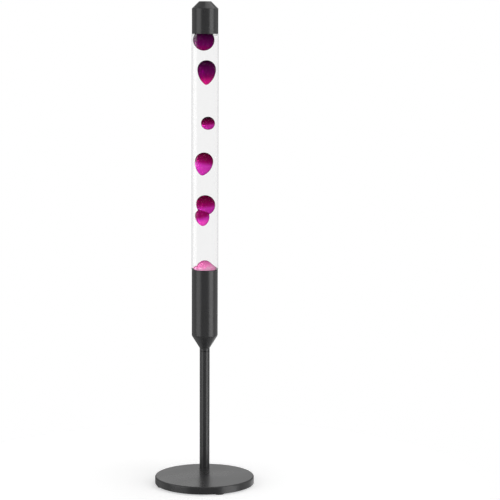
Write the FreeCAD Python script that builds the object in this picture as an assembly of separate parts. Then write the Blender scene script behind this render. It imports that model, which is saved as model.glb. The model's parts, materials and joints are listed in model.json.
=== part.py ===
import FreeCAD, Part
import math
import os

# Slim floor lava lamp: a disc base with a pole set towards its rear, a spun lamp housing with a
# small reflector bulb, and a sealed glass column of clear liquid and wax under a lift-off cap.
# Millimetres, +Z up. The origin is the centre of the base disc on the floor, and -Y is the front.

V = FreeCAD.Vector
UP = V(0, 0, 1)

# Heights of the stack, from the floor up
foot_height = 1.6
base_height = 11.7
pole_length = 191.8
neck_height = 4.5
cone_height = 20.4
housing_height = 106.2
gasket_thickness = 0.8
glass_length = 372.4
cap_height = 50.6

# Base
base_diameter = 156.8
base_edge_round = 2.2
cover_wall = 1.5
cover_bevel = 0.3
plate_thickness = 1.2
cover_gap = 0.3
weight_gap = 0.8
foot_diameter = 16.0
foot_bevel = 0.5
foot_inset = 0.6
foot_count = 4
first_foot_angle = 19.0
foot_stem_diameter = 5.0
foot_stem_length = 3.6
plate_screw_count = 3
plate_screw_inset = 23.0
plate_screw_first_angle = 135.0
plate_screw_diameter = 3.0
plate_screw_head = 5.6
plate_screw_length = 7.0
screw_slot = 0.6

# Cord inlet at the rear of the base
inlet_bore = 5.6
inlet_sleeve = 6.8
inlet_flange = 8.0
inlet_flange_thickness = 0.7
inlet_inner_flange = 7.8

# Pole, set in from the base's rear edge, and its hollow threaded nipples
pole_diameter = 16.0
pole_wall = 1.2
pole_setback = 29.4
plug_length = 14.0
plug_bevel = 0.6
nipple_diameter = 10.0
nipple_bore = 7.0
nipple_bevel = 0.5
nipple_engagement = 12.8
nut_across_flats = 14.0
nut_thickness = 2.4
nut_chamfer_angle = 30.0
washer_diameter = 17.0
washer_thickness = 0.8
washer_room = 0.85

# Wiring inside the base and the pole
lead_diameter = 2.4
lead_bend = 4.0
lead_room = 0.4
terminal_width = 14.0
terminal_length = 16.0
terminal_distance = 26.0
terminal_room = 2.0
terminal_screw_diameter = 3.0
terminal_screw_spacing = 7.0
wire_insertion = 3.5

# Lamp housing, glass and cap share the glass diameter
glass_diameter = 42.4
rim_step = 0.45
rim_bevel = 0.2
gasket_skirt = 11.0
housing_wall = 0.8
cap_wall = 0.8
spigot_room = 0.85
cone_round = 6.0
neck_round = 3.0
seam_bevel = 0.25
cap_flat_diameter = 19.0
cap_chamfer_height = 11.1
cap_edge_round = 0.8
cap_liner_inset = 3.0
cap_liner_length = 12.0

# Glass column
glass_wall = 1.8
glass_floor = 3.0
glass_foot_round = 4.0
punt_height = 1.5
punt_diameter = 23.0
bore_round = 3.0
lower_spigot_depth = 22.0
upper_spigot_height = 20.0
taper_height = 7.0
bottle_neck_height = 8.5
bottle_neck_diameter = 24.4
bottle_neck_round = 3.0
finish_height = 5.5
finish_diameter = 26.5
finish_bore = 17.0

# Crown closure
crown_thickness = 0.4
crown_liner_thickness = 0.5
crown_skirt = 6.2
crown_flare = 2.2
crown_bend = 0.8
crown_flutes = 21
crown_flute_diameter = 2.6

# Lamp holder and reflector bulb
holder_diameter = 25.0
holder_height = 37.0
holder_floor = 9.0
holder_web = 1.8
holder_round = 1.0
holder_shell_lift = 3.0
holder_shell_thickness = 0.5
screw_shell_diameter = 13.7
screw_shell_length = 16.5
screw_shell_thickness = 0.4
contact_height = 7.2
bulb_tip_height = 4.0
bulb_tip_diameter = 4.8
bulb_tip_thickness = 1.4
bulb_tip_round = 1.0
insulator_lip = 0.4
insulator_depth = 2.0
bulb_neck_depth = 5.5
bulb_body_height = 46.5
bulb_face_radius = 29.0
bulb_throat_step = 2.4
bulb_throat_length = 10.2
bulb_throat_round = 1.5
bulb_flare_round = 5.0
bulb_rim_height = 15.8
bulb_rim_round = 8.0
bulb_shoulder_width = 5.8
bulb_shoulder_round = 4.0
bulb_wall = 0.8
bulb_room = 0.75
contact_strip_width = 4.0
contact_strip_thickness = 0.5
stem_height = 14.0
stem_post_diameter = 3.6
filament_wire = 0.5
filament_spread = 6.0
filament_rise = 7.4

# Wax, its heating coil and the liquid
liquid_fill = 16.0
pool_crest = 12.5
pool_flank = 43.0
pool_lip = 0.5
pool_ledge = 1.7
coil_wire = 1.2
coil_radius = 12.5
coil_pitch = 1.8
coil_turns = 2.5

# Clearances
fit_gap = 0.1
moving_gap = 0.35
film_gap = 0.15
drop_film = 0.3

# How far a cutting shape runs past the face that it opens
overcut = 1.0

# Wax drops: share of the way up the column, offsets from its axis, gap left to the wall, length that
# each is drawn out beyond a ball, tip radius and tilt
drops = {
    "wax_top_drop": dict(share=0.9738, x=-2.1, y=0.0, wall_gap=0.85, drawn=0.3, tip=13.0, tilt=0.0),
    "wax_tear_drop": dict(share=0.8367, x=2.8, y=0.6, wall_gap=2.4, drawn=11.2, tip=3.8, tilt=0.5),
    "wax_small_drop": dict(share=0.6244, x=4.8, y=-1.5, wall_gap=3.85, drawn=-0.9, tip=13.0, tilt=6.0),
    "wax_egg_drop": dict(share=0.4513, x=-2.0, y=1.5, wall_gap=3.2, drawn=8.4, tip=4.0, tilt=9.0),
}
# Two drops that merge: their share of the way up the column, and how far the lower one has sunk
pair_share = 0.2744
pair_fall = 19.4
pair_drop = {
    "upper": dict(x=1.3, y=1.5, wall_gap=2.55, drawn=0.5, tip=12.0, tilt=0.0),
    "lower": dict(x=-4.0, y=-5.0, wall_gap=1.9, drawn=3.0, tip=6.5, tilt=-4.0),
}

# Levels worked out from the stack
base_bottom = foot_height
base_top = base_bottom + base_height
plate_top = base_bottom + plate_thickness
cover_underside = base_top - cover_wall
pole_top = base_top + pole_length
cone_bottom = pole_top + neck_height
cone_top = cone_bottom + cone_height
rim = cone_top + housing_height
shoulder_low = rim + gasket_thickness
shoulder_high = shoulder_low + glass_length
lamp_top = shoulder_high + cap_height

# Radii worked out from the driving sizes
base_radius = base_diameter / 2
cover_inner_radius = base_radius - cover_wall
weight_radius = cover_inner_radius - weight_gap
pole_offset = base_radius - pole_setback
pole_radius = pole_diameter / 2
pole_bore_radius = pole_radius - pole_wall
nipple_radius = nipple_diameter / 2
lead_radius = lead_diameter / 2
glass_radius = glass_diameter / 2
housing_radius = glass_radius - rim_step
housing_inner_radius = housing_radius - housing_wall
cap_radius = glass_radius - rim_step
cap_inner_radius = cap_radius - cap_wall
lower_spigot_radius = housing_inner_radius - spigot_room
upper_spigot_radius = cap_inner_radius - spigot_room
column_radius = glass_radius - glass_wall
lower_bore_radius = lower_spigot_radius - glass_wall
upper_bore_radius = upper_spigot_radius - glass_wall

# Nut, washer and web at the foot of the pole stand on the room that the lead needs
lead_run_height = plate_top + lead_room + lead_radius
base_nut_bottom = lead_run_height + lead_radius + lead_room
base_nut_top = base_nut_bottom + nut_thickness
web_bottom = base_nut_top + washer_thickness

# Floor inside the cone of the housing, where the cone is just wide enough for the washer
cone_slope = (housing_radius - pole_radius) / cone_height
cone_wall_offset = housing_wall * math.hypot(1.0, cone_slope)
floor_radius = washer_diameter / 2 + washer_room
housing_floor = cone_top - (housing_radius - cone_wall_offset - floor_radius) / cone_slope
neck_nut_bottom = housing_floor + washer_thickness
holder_bottom = neck_nut_bottom + nut_thickness
holder_top = holder_bottom + holder_height
holder_ledge = holder_bottom + holder_floor
neck_nipple_top = holder_ledge - holder_web

# Bulb, standing in the holder
bulb_bottom = holder_ledge + contact_height
screw_shell_bottom = bulb_bottom + bulb_tip_height
screw_shell_top = screw_shell_bottom + screw_shell_length
bulb_top = screw_shell_top + bulb_body_height
bulb_radius = housing_inner_radius - bulb_room
screw_shell_radius = screw_shell_diameter / 2
bulb_neck_foot = screw_shell_top - bulb_neck_depth
stem_top = screw_shell_top + stem_height

# Glass column and crown levels
glass_bottom = shoulder_low - lower_spigot_depth
column_floor = glass_bottom + punt_height + glass_floor
column_low = shoulder_low + glass_wall
column_high = shoulder_high - glass_wall
taper_low = shoulder_high + upper_spigot_height
neck_low = taper_low + taper_height
finish_low = neck_low + bottle_neck_height
finish_top = finish_low + finish_height
crown_top = finish_top + crown_liner_thickness + crown_thickness
liquid_level = shoulder_high + liquid_fill
pool_edge = column_low + film_gap + pool_lip


def rounded_wire(points):
    """Closed wire in the XZ plane through (radius, height[, rounding[, bow]]) points.

    The rounding is the fillet at the point, and the bow is how far the edge to the next point
    bulges to the right of its direction.
    """
    corners = [(V(p[0], 0, p[1]), p[2] if len(p) > 2 else 0.0) for p in points]
    bows = [p[3] if len(p) > 3 else 0.0 for p in points]
    ends = []
    for i, (point, rounding) in enumerate(corners):
        if not rounding:
            ends.append((point, None, point))
            continue
        back = (corners[i - 1][0] - point).normalize()
        ahead = (corners[(i + 1) % len(corners)][0] - point).normalize()
        half = back.getAngle(ahead) / 2
        run = rounding / math.tan(half)
        middle = (back + ahead).normalize()
        centre = point + middle * (rounding / math.sin(half))
        ends.append((point + back * run, centre - middle * rounding, point + ahead * run))
    edges = []
    for i, (first, middle, last) in enumerate(ends):
        if middle:
            edges.append(Part.Arc(first, middle, last).toShape())
        following = ends[(i + 1) % len(ends)][0]
        along = following - last
        if bows[i]:
            bulge = V(along.z, 0, -along.x).normalize() * bows[i]
            edges.append(Part.Arc(last, last + along / 2 + bulge, following).toShape())
        elif along.Length > 1e-6:
            edges.append(Part.LineSegment(last, following).toShape())
    return Part.Wire(edges)


def lathe(points, x=0.0, y=0.0):
    """Solid turned about a vertical axis at (x, y)."""
    solid = Part.Face(rounded_wire(points)).revolve(V(0, 0, 0), UP, 360)
    return solid.translated(V(x, y, 0))


def on_pole(points):
    """Solid turned about the pole's axis."""
    return lathe(points, 0.0, pole_offset)


def rod(radius, bottom, top, x=0.0, y=0.0):
    return Part.makeCylinder(radius, top - bottom, V(x, y, bottom))


def tube(outer, inner, bottom, top, x=0.0, y=0.0):
    return rod(outer, bottom, top, x, y).cut(rod(inner, bottom, top, x, y))


def block(x0, x1, y0, y1, z0, z1):
    return Part.makeBox(x1 - x0, y1 - y0, z1 - z0, V(x0, y0, z0))


def polar(radius, degrees):
    """Point at an angle from +X in the XY plane."""
    angle = math.radians(degrees)
    return radius * math.cos(angle), radius * math.sin(angle)


def slot_prism(start, end, width, bottom, top):
    """Upright slot with round ends between two points of the XY plane."""
    length = math.hypot(end[0] - start[0], end[1] - start[1])
    turn = math.degrees(math.atan2(end[1] - start[1], end[0] - start[0]))
    straight = block(0, length, -width / 2, width / 2, bottom, top)
    straight.rotate(V(0, 0, 0), UP, turn)
    straight.translate(V(start[0], start[1], 0))
    ends = [rod(width / 2, bottom, top, *point) for point in (start, end)]
    return straight.fuse(ends).removeSplitter()


def wire_tube(path, radius):
    """Round tube along a wire of lines and tangent arcs."""
    first = path.OrderedEdges[0]
    start = first.valueAt(first.FirstParameter)
    heading = first.tangentAt(first.FirstParameter)
    section = Part.Wire(Part.makeCircle(radius, start, heading))
    return path.makePipeShell([section], True, False)


def hex_nut(bottom, top):
    """Nut for a nipple, on the pole's axis, with its corners turned off."""
    corner_radius = nut_across_flats / math.sqrt(3)
    corners = [V(*polar(corner_radius, 60 * i), bottom) for i in range(7)]
    prism = Part.Face(Part.makePolygon(corners)).extrude(V(0, 0, top - bottom))
    prism.translate(V(0, pole_offset, 0))
    bevel = corner_radius - nut_across_flats / 2
    drop = bevel * math.tan(math.radians(nut_chamfer_angle))
    turned = on_pole([
        (nipple_radius + fit_gap, bottom),
        (corner_radius - bevel, bottom),
        (corner_radius, bottom + drop),
        (corner_radius, top - drop),
        (corner_radius - bevel, top),
        (nipple_radius + fit_gap, top),
    ])
    return prism.common(turned)


def nipple(bottom, top):
    """Hollow threaded tube on the pole's axis."""
    return on_pole([
        (nipple_bore / 2, bottom),
        (nipple_radius - nipple_bevel, bottom),
        (nipple_radius, bottom + nipple_bevel),
        (nipple_radius, top - nipple_bevel),
        (nipple_radius - nipple_bevel, top),
        (nipple_bore / 2, top),
    ])


def washer(bottom):
    top = bottom + washer_thickness
    return tube(washer_diameter / 2, nipple_radius + fit_gap, bottom, top, 0.0, pole_offset)


# Base

inlet_height = (plate_top + cover_underside) / 2
inlet_face = base_radius - inlet_flange_thickness - fit_gap
inlet_inner_face = cover_inner_radius - fit_gap
inlet_end = inlet_inner_face - 2 * inlet_flange_thickness
cord_channel_width = inlet_inner_flange + 2 * weight_gap
terminal_x0 = terminal_distance - terminal_length / 2
terminal_x1 = terminal_distance + terminal_length / 2
nut_pocket_radius = nut_across_flats / math.sqrt(3) + 2 * terminal_room


def along_inlet(radius, y0, y1):
    """Round bar on the cord inlet's axis."""
    return Part.makeCylinder(radius, y1 - y0, V(0, y0, inlet_height), V(0, 1, 0))


def plate_screw_places():
    radius = base_radius - plate_screw_inset
    step = 360.0 / plate_screw_count
    return [polar(radius, plate_screw_first_angle + step * i) for i in range(plate_screw_count)]


def foot_places():
    radius = base_radius - foot_inset - foot_diameter / 2
    step = 360.0 / foot_count
    return [polar(radius, first_foot_angle - 90 + step * i) for i in range(foot_count)]


def plate_screw(place, growth=0.0):
    """Countersunk screw from below, grown by a clearance where it stands for its hole."""
    head = plate_screw_head / 2 + growth
    shank = plate_screw_diameter / 2 + growth
    return lathe([
        (0, base_bottom),
        (head, base_bottom),
        (shank, base_bottom + head - shank),
        (shank, base_bottom + plate_screw_length + growth),
        (0, base_bottom + plate_screw_length + growth),
    ], *place)


def make_base_cover():
    dish = lathe([
        (0, cover_underside),
        (cover_inner_radius, cover_underside),
        (cover_inner_radius, base_bottom),
        (base_radius - cover_bevel, base_bottom),
        (base_radius, base_bottom + cover_bevel),
        (base_radius, base_top, base_edge_round),
        (0, base_top),
    ])
    spot_face = along_inlet(inlet_flange / 2 + fit_gap, inlet_face, base_radius + overcut)
    inlet_hole = along_inlet(inlet_sleeve / 2 + fit_gap, inlet_end, base_radius + overcut)
    nipple_hole = rod(nipple_radius + fit_gap, base_bottom, base_top + overcut, 0.0, pole_offset)
    return dish.cut([spot_face, inlet_hole, nipple_hole])


def make_base_weight():
    disc = lathe([
        (0, plate_top),
        (weight_radius, plate_top),
        (weight_radius, cover_underside - weight_gap),
        (weight_radius - weight_gap, cover_underside),
        (0, cover_underside),
    ])
    pocket = rod(nut_pocket_radius, base_bottom, web_bottom, 0.0, pole_offset)
    recess_side = terminal_width / 2 + terminal_room
    recess = block(
        0.0, terminal_x1 + terminal_room,
        pole_offset - recess_side, pole_offset + recess_side,
        base_bottom, web_bottom,
    )
    turn_in = (0.0, weight_radius - cord_channel_width / 2)
    recess_entry = (terminal_distance, pole_offset)
    channel = slot_prism(turn_in, recess_entry, cord_channel_width, base_bottom, web_bottom)
    mouth = block(
        -cord_channel_width / 2, cord_channel_width / 2,
        turn_in[1], base_radius,
        base_bottom, base_top,
    )
    holes = [rod(nipple_radius + fit_gap, base_bottom, base_top, 0.0, pole_offset)]
    holes += [plate_screw(place, fit_gap) for place in plate_screw_places()]
    holes += [foot_stem(place, fit_gap) for place in foot_places()]
    return disc.cut([pocket, recess, channel, mouth] + holes)


def foot_stem(place, growth=0.0):
    radius = foot_stem_diameter / 2 + growth
    return rod(radius, base_bottom - growth, base_bottom + foot_stem_length + growth, *place)


def make_base_plate():
    plate = rod(cover_inner_radius - cover_gap, base_bottom, plate_top)
    holes = [plate_screw(place, fit_gap) for place in plate_screw_places()]
    holes += [foot_stem(place, fit_gap) for place in foot_places()]
    return plate.cut(holes)


def make_base_plate_screws():
    screws = []
    for x, y in plate_screw_places():
        half = plate_screw_head / 2
        slot = block(
            x - half, x + half,
            y - screw_slot / 2, y + screw_slot / 2,
            base_bottom - overcut, base_bottom + screw_slot,
        )
        screws.append(plate_screw((x, y)).cut(slot))
    return Part.makeCompound(screws)


def make_rubber_feet():
    feet = []
    for place in foot_places():
        pad = lathe([
            (0, 0),
            (foot_diameter / 2 - foot_bevel, 0),
            (foot_diameter / 2, foot_bevel),
            (foot_diameter / 2, base_bottom),
            (0, base_bottom),
        ], *place)
        feet.append(pad.fuse(foot_stem(place)).removeSplitter())
    return Part.makeCompound(feet)


def make_cord_grommet():
    outer = along_inlet(inlet_flange / 2, inlet_face, inlet_face + inlet_flange_thickness)
    sleeve = along_inlet(inlet_sleeve / 2, inlet_end, inlet_face + inlet_flange_thickness)
    inner = along_inlet(inlet_inner_flange / 2, inlet_end, inlet_inner_face)
    bore = along_inlet(inlet_bore / 2, inlet_end - overcut, base_radius + overcut)
    return outer.fuse([sleeve, inner]).cut(bore).removeSplitter()


# Wiring

def terminal_screw_places():
    return [(terminal_distance, pole_offset + side * terminal_screw_spacing / 2) for side in (-1, 1)]


def make_terminal_block():
    bottom = plate_top + lead_room / 2
    side = terminal_width / 2
    body = block(terminal_x0, terminal_x1, pole_offset - side, pole_offset + side, bottom, web_bottom)
    upright = [edge for edge in body.Edges if abs(edge.tangentAt(edge.FirstParameter).z) > 0.9]
    body = body.makeFillet(terminal_room / 2, upright)
    entry_side = lead_radius + fit_gap
    lead_slot = block(
        terminal_x0 - overcut, terminal_x0 + wire_insertion + fit_gap,
        pole_offset - entry_side, pole_offset + entry_side,
        base_bottom, lead_run_height + entry_side,
    )
    cord_slot = block(
        terminal_x1 - wire_insertion, terminal_x1 + overcut,
        pole_offset - inlet_bore / 2, pole_offset + inlet_bore / 2,
        base_bottom, lead_run_height + entry_side,
    )
    screw_holes = [
        rod(terminal_screw_diameter / 2 + fit_gap, base_bottom, web_bottom - terminal_room, *place)
        for place in terminal_screw_places()
    ]
    return body.cut([lead_slot, cord_slot] + screw_holes)


def make_terminal_screws():
    screws = []
    bottom = plate_top + lead_room
    radius = terminal_screw_diameter / 2
    for x, y in terminal_screw_places():
        screw = rod(radius, bottom, web_bottom - terminal_room, x, y)
        slot = block(
            x - radius, x + radius,
            y - screw_slot / 2, y + screw_slot / 2,
            plate_top, bottom + screw_slot,
        )
        screws.append(screw.cut(slot))
    return Part.makeCompound(screws)


def make_inner_lead():
    start = V(terminal_x0 + wire_insertion, pole_offset, lead_run_height)
    bend_start = V(lead_bend, pole_offset, lead_run_height)
    bend_end = V(0, pole_offset, lead_run_height + lead_bend)
    inset = lead_bend * (1 - math.sqrt(0.5))
    bend_middle = V(inset, pole_offset, lead_run_height + inset)
    end = V(0, pole_offset, holder_ledge + lead_radius)
    path = Part.Wire([
        Part.LineSegment(start, bend_start).toShape(),
        Part.Arc(bend_start, bend_middle, bend_end).toShape(),
        Part.LineSegment(bend_end, end).toShape(),
    ])
    return wire_tube(path, lead_radius)


# Pole

def make_pole_tube():
    return on_pole([
        (pole_bore_radius, base_top),
        (pole_radius, base_top),
        (pole_radius, pole_top - seam_bevel),
        (pole_radius - seam_bevel, pole_top),
        (pole_bore_radius, pole_top),
    ])


def make_pole_plug(bottom):
    """Turned plug pressed into an end of the pole, tapped for a nipple."""
    outer = pole_bore_radius - fit_gap
    inner = nipple_radius + fit_gap
    return on_pole([
        (inner, bottom),
        (outer - plug_bevel, bottom),
        (outer, bottom + plug_bevel),
        (outer, bottom + plug_length - plug_bevel),
        (outer - plug_bevel, bottom + plug_length),
        (inner, bottom + plug_length),
    ])


# Lamp housing

def make_lamp_housing():
    bend = housing_wall * (math.hypot(1.0, cone_slope) - 1.0) / cone_slope
    return on_pole([
        (nipple_radius + fit_gap, pole_top),
        (pole_radius - seam_bevel, pole_top),
        (pole_radius, pole_top + seam_bevel),
        (pole_radius, cone_bottom, neck_round),
        (housing_radius, cone_top, cone_round),
        (housing_radius, rim - rim_bevel),
        (housing_radius - rim_bevel, rim),
        (housing_inner_radius, rim),
        (housing_inner_radius, cone_top + bend),
        (floor_radius, housing_floor),
        (nipple_radius + fit_gap, housing_floor),
    ])


def make_rim_gasket():
    skirt_outer = housing_inner_radius - fit_gap
    skirt_inner = lower_spigot_radius + moving_gap
    skirt_bottom = rim - gasket_skirt
    return on_pole([
        (skirt_inner, skirt_bottom),
        (skirt_outer, skirt_bottom),
        (skirt_outer, rim),
        (housing_radius - fit_gap, rim),
        (housing_radius - fit_gap, shoulder_low),
        (skirt_inner, shoulder_low),
    ])


# Lamp holder and bulb

shell_inner_radius = screw_shell_radius + moving_gap
shell_outer_radius = shell_inner_radius + holder_shell_thickness
shell_bottom = holder_ledge + holder_shell_lift
holder_bore_radius = shell_outer_radius + fit_gap


def make_holder_body():
    outer = holder_diameter / 2
    return on_pole([
        (nipple_radius + fit_gap, holder_bottom),
        (floor_radius, holder_bottom, holder_round),
        (outer, holder_ledge, 2 * holder_round),
        (outer, holder_top, holder_round),
        (holder_bore_radius, holder_top),
        (holder_bore_radius, shell_bottom),
        (shell_inner_radius, shell_bottom),
        (shell_inner_radius, holder_ledge),
        (lead_diameter, holder_ledge),
        (lead_diameter, neck_nipple_top + fit_gap),
        (nipple_radius + fit_gap, neck_nipple_top + fit_gap),
    ])


def make_holder_shell():
    top = holder_top - holder_round
    return tube(shell_outer_radius, shell_inner_radius, shell_bottom, top, 0.0, pole_offset)


def make_holder_contact():
    """Bronze strip bent up from the holder's floor to a tongue under the bulb's tip."""
    thick = contact_strip_thickness
    outer = shell_inner_radius - moving_gap - thick
    foot_end = lead_diameter + fit_gap
    tongue = bulb_bottom - moving_gap
    bend = tongue - 2 * thick
    side = [
        V(foot_end, 0, holder_ledge),
        V(outer, 0, holder_ledge),
        V(outer, 0, bend),
        V(-lead_diameter / 2, 0, tongue),
        V(-lead_diameter / 2, 0, tongue - thick),
        V(outer - thick, 0, bend - thick),
        V(outer - thick, 0, holder_ledge + thick),
        V(foot_end, 0, holder_ledge + thick),
        V(foot_end, 0, holder_ledge),
    ]
    strip = Part.Face(Part.makePolygon(side)).extrude(V(0, contact_strip_width, 0))
    return strip.translated(V(0, pole_offset - contact_strip_width / 2, 0))


def make_bulb_tip():
    radius = bulb_tip_diameter / 2
    return on_pole([
        (0, bulb_bottom),
        (radius, bulb_bottom, bulb_tip_round),
        (radius, bulb_bottom + bulb_tip_thickness),
        (0, bulb_bottom + bulb_tip_thickness),
    ])


def make_bulb_insulator():
    tip_top = bulb_bottom + bulb_tip_thickness
    inner = screw_shell_radius - screw_shell_thickness - fit_gap
    return on_pole([
        (0, tip_top),
        (bulb_tip_diameter / 2 + insulator_lip, tip_top),
        (screw_shell_radius - screw_shell_thickness, screw_shell_bottom),
        (inner, screw_shell_bottom + fit_gap),
        (inner, screw_shell_bottom + insulator_depth),
        (0, screw_shell_bottom + insulator_depth),
    ])


def make_bulb_screw_shell():
    inner = screw_shell_radius - screw_shell_thickness
    return on_pole([
        (inner, screw_shell_bottom),
        (screw_shell_radius - screw_shell_thickness / 2, screw_shell_bottom),
        (screw_shell_radius, screw_shell_bottom + screw_shell_thickness),
        (screw_shell_radius, screw_shell_top),
        (inner, screw_shell_top),
    ])


def bulb_outline(inset):
    """Half outline of the reflector bulb, from the neck's foot up to its domed face."""
    neck = screw_shell_radius - screw_shell_thickness - fit_gap - inset
    throat = screw_shell_radius + bulb_throat_step - inset
    wide = bulb_radius - inset
    top = bulb_top - inset
    face_radius = bulb_face_radius - inset
    dome_edge = bulb_radius - bulb_shoulder_width
    dome_angle = math.asin(dome_edge / face_radius)
    dome_low = top - face_radius * (1 - math.cos(dome_angle))
    corner = dome_low - (wide - dome_edge) * math.tan(dome_angle)
    return [
        (0, bulb_neck_foot),
        (neck, bulb_neck_foot),
        (neck, screw_shell_top + inset),
        (throat, screw_shell_top + bulb_throat_step + inset, bulb_throat_round),
        (throat, screw_shell_top + bulb_throat_length, bulb_flare_round),
        (wide, bulb_top - bulb_rim_height, bulb_rim_round),
        (wide, corner, bulb_shoulder_round),
        (dome_edge, dome_low, 0.0, face_radius * (1 - math.cos(dome_angle / 2))),
        (0, top),
    ]


def make_bulb_envelope():
    return on_pole(bulb_outline(0.0)).cut(on_pole(bulb_outline(bulb_wall)))


def make_bulb_stem():
    """Glass stem sealed in the bulb's neck, with a post for the filament."""
    foot = bulb_neck_foot
    neck = screw_shell_radius - screw_shell_thickness - 2 * fit_gap - bulb_wall
    post = stem_post_diameter / 2
    return on_pole([
        (0, foot),
        (neck, foot),
        (neck, foot + bulb_wall),
        (post, foot + neck),
        (post, stem_top, post / 2),
        (0, stem_top),
    ])


def make_bulb_filament():
    """Two lead wires out of the stem with the filament arched between them."""
    radius = filament_wire / 2
    side = stem_post_diameter / 2 - filament_wire
    shoulder = stem_top + filament_rise
    points = [
        V(-side, pole_offset, stem_top),
        V(-side - filament_spread, pole_offset, shoulder),
        V(side + filament_spread, pole_offset, shoulder),
        V(side, pole_offset, stem_top),
    ]
    path = Part.Wire([
        Part.LineSegment(points[0], points[1]).toShape(),
        Part.Arc(points[1], V(0, pole_offset, shoulder + filament_spread), points[2]).toShape(),
        Part.LineSegment(points[2], points[3]).toShape(),
    ])
    section = Part.Wire(Part.makeCircle(radius, points[0], points[1] - points[0]))
    return path.makePipeShell([section], True, False, 2)


# Glass column

def make_glass_tube():
    neck = bottle_neck_diameter / 2
    finish = finish_diameter / 2
    bore = finish_bore / 2
    edge = glass_wall / 2
    outside = [
        (0, glass_bottom + punt_height, 0.0, -punt_height / 4),
        (punt_diameter / 2, glass_bottom),
        (lower_spigot_radius, glass_bottom, glass_foot_round),
        (lower_spigot_radius, shoulder_low, edge / 3),
        (glass_radius, shoulder_low, edge),
        (glass_radius, shoulder_high, edge),
        (upper_spigot_radius, shoulder_high, edge / 3),
        (upper_spigot_radius, taper_low, glass_foot_round),
        (neck, neck_low, bottle_neck_round),
        (neck, finish_low + finish - neck),
        (finish, finish_low + 2 * (finish - neck), edge / 3),
        (finish, finish_top, edge),
        (bore, finish_top, edge),
    ]
    inside = [
        (bore, neck_low, bottle_neck_round),
        (upper_bore_radius, taper_low - edge, bore_round),
        (upper_bore_radius, column_high, edge / 3),
        (column_radius, column_high, edge),
        (column_radius, column_low, edge),
        (lower_bore_radius, column_low, edge / 3),
        (lower_bore_radius, column_floor, bore_round),
        (0, column_floor),
    ]
    return on_pole(outside + inside)


def make_crown_cap():
    """Pressed crown closure with a fluted, flared skirt."""
    inner = finish_diameter / 2 + fit_gap
    outer = inner + crown_thickness
    skirt_bottom = crown_top - crown_skirt
    flare_start = crown_top - crown_skirt / 2
    crown = on_pole([
        (0, crown_top - crown_thickness),
        (inner, crown_top - crown_thickness, crown_bend),
        (inner, flare_start),
        (inner + crown_flare, skirt_bottom),
        (outer + crown_flare, skirt_bottom),
        (outer, flare_start + crown_thickness / 2),
        (outer, crown_top, crown_bend + crown_thickness),
        (0, crown_top),
    ])
    flutes = []
    for i in range(crown_flutes):
        x, y = polar(outer + crown_flare + crown_flute_diameter / 4, 360.0 * i / crown_flutes)
        flute_low = skirt_bottom - overcut
        flutes.append(rod(crown_flute_diameter / 2, flute_low, flare_start, x, pole_offset + y))
    return crown.cut(flutes)


def make_crown_liner():
    top = finish_top + crown_liner_thickness
    return rod(finish_diameter / 2 - crown_bend, finish_top, top, 0.0, pole_offset)


# Wax and liquid

def drop_solid(share, x, y, wall_gap, drawn, tip, tilt, growth=0.0):
    """Wax drop turned from three tangent arcs: a round head, a drawn-out or drawn-in side and a tip."""
    head = column_radius - wall_gap - math.hypot(x, y) + growth
    tip_round = tip + growth
    top = head + drawn / 2
    head_centre = top - head
    tip_centre = tip_round - top
    span = head_centre - tip_centre
    side = (head ** 2 + span ** 2 - tip_round ** 2) / (2 * (head - tip_round))
    side_centre = V(head - side, 0, head_centre)
    towards_tip = (V(0, 0, tip_centre) - side_centre) * (1 / (side - tip_round))
    tip_start = side_centre + towards_tip * side
    side_angle = math.atan2(-towards_tip.z, towards_tip.x) / 2
    side_middle = side_centre + V(math.cos(side_angle), 0, -math.sin(side_angle)) * side
    tip_angle = math.pi / 2 - (math.pi / 2 - 2 * side_angle) / 2
    diagonal = math.sqrt(0.5) * head
    half_outline = [
        Part.Arc(V(0, 0, top), V(diagonal, 0, head_centre + diagonal), V(head, 0, head_centre)).toShape(),
        Part.Arc(V(head, 0, head_centre), side_middle, tip_start).toShape(),
        Part.Arc(
            tip_start,
            V(math.cos(tip_angle), 0, -math.sin(tip_angle)) * tip_round + V(0, 0, tip_centre),
            V(0, 0, -top),
        ).toShape(),
        Part.LineSegment(V(0, 0, -top), V(0, 0, top)).toShape(),
    ]
    drop = Part.Face(Part.Wire(half_outline)).revolve(V(0, 0, 0), UP, 360)
    drop.rotate(V(0, 0, 0), V(0, 1, 0), tilt)
    return drop.translated(V(x, pole_offset + y, shoulder_low + share * glass_length))


def make_pair_drop(growth=0.0):
    """Two drops caught as they merge, one form with a crease."""
    upper = drop_solid(share=pair_share, growth=growth, **pair_drop["upper"])
    lower = drop_solid(share=pair_share, growth=growth, **pair_drop["lower"])
    return upper.fuse(lower.translated(V(0, 0, -pair_fall)))


coil_channel_inner = coil_radius - coil_wire
coil_channel_outer = coil_radius + coil_wire
pool_floor = column_floor + film_gap
coil_channel_top = pool_floor + coil_pitch * coil_turns + 2 * coil_wire


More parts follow.
